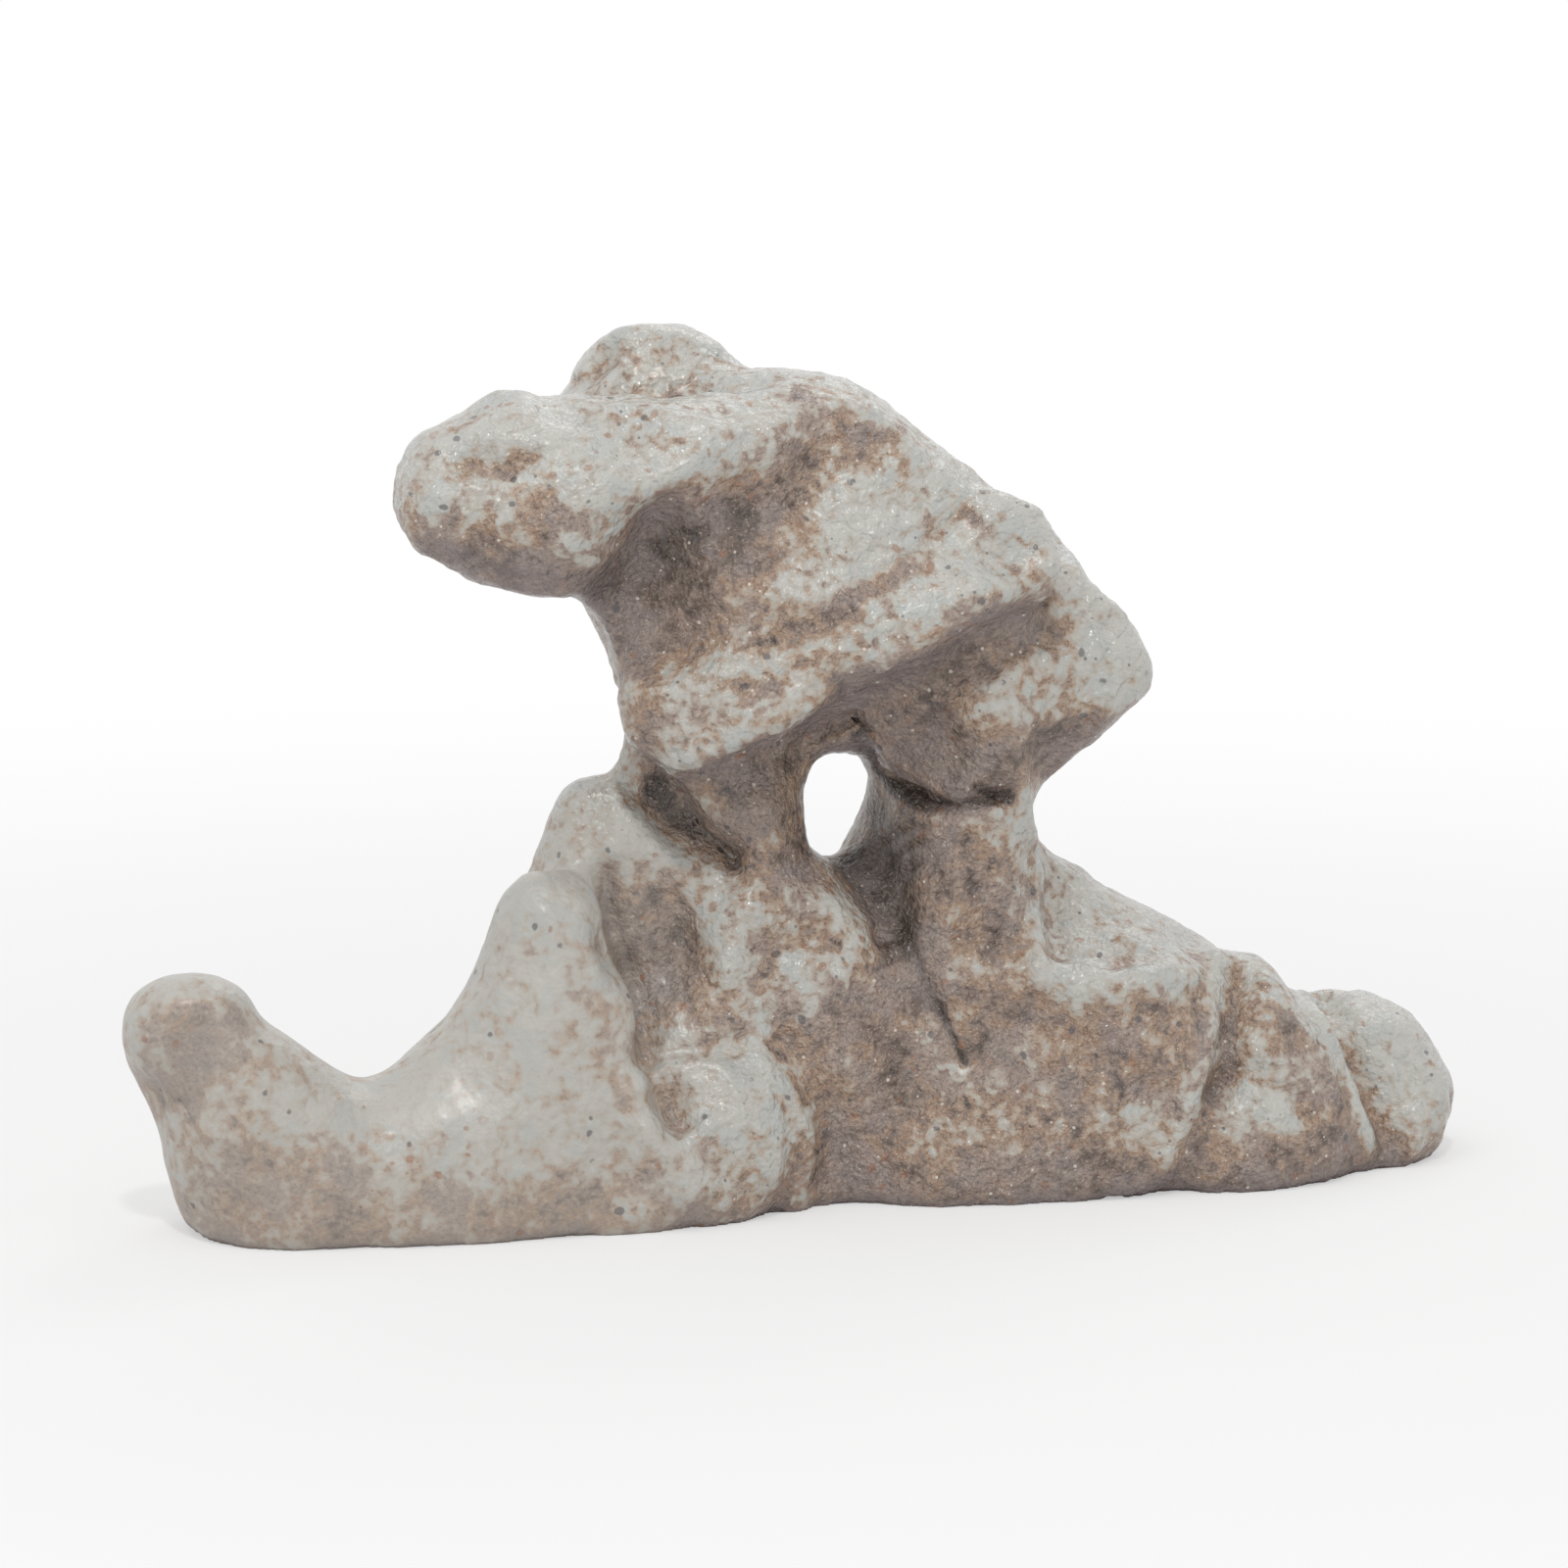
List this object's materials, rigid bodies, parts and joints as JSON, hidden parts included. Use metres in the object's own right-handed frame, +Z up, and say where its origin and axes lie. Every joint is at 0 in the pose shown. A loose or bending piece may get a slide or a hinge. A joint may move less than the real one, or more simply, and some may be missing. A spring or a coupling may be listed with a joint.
{
  "type": "brush rest",
  "caption": "Ceramic brush rest in the form of a scholar's rock: a low ridge of boulders with a valley for a brush, and an overhanging head on pillars round a see-through window.",
  "frame": {"origin": "on the ground, on the flat foot, under the middle of the rock", "axes": "+X along the rock, from the brush valley towards the end boulder; -Y is the front; +Z up"},
  "size_m": [0.1169, 0.0358, 0.0734],
  "materials": {
    "pale_glaze": "glossy pale grey-green glaze, mottled with rust and iron specks",
    "warm_glaze": "glossy glaze, pale on the ridges and breaking to warm brown in the hollows",
    "rust_glaze": "thin glossy glaze, broken to rust brown with a fine sandy sparkle",
    "shade_glaze": "thin purplish brown glaze on the undersides and in the crevices"
  },
  "bodies": {
    "root": {"left_spur": "pale_glaze", "left_peak": "pale_glaze", "back_peak": "pale_glaze", "front_toe": "pale_glaze", "centre_cascade": "warm_glaze", "right_block": "rust_glaze", "rear_shoulder": "warm_glaze", "right_fold": "rust_glaze", "end_boulder": "pale_glaze", "rear_mound": "warm_glaze", "rear_heel": "warm_glaze", "left_pillar": "shade_glaze", "rear_pillar": "shade_glaze", "right_pillar": "rust_glaze", "hanging_lobe": "shade_glaze", "neck": "warm_glaze", "ledge": "pale_glaze", "side_lobe": "pale_glaze", "nose": "pale_glaze", "crown": "pale_glaze", "summit": "pale_glaze", "rear_cheek": "warm_glaze"}
  },
  "joints": []
}
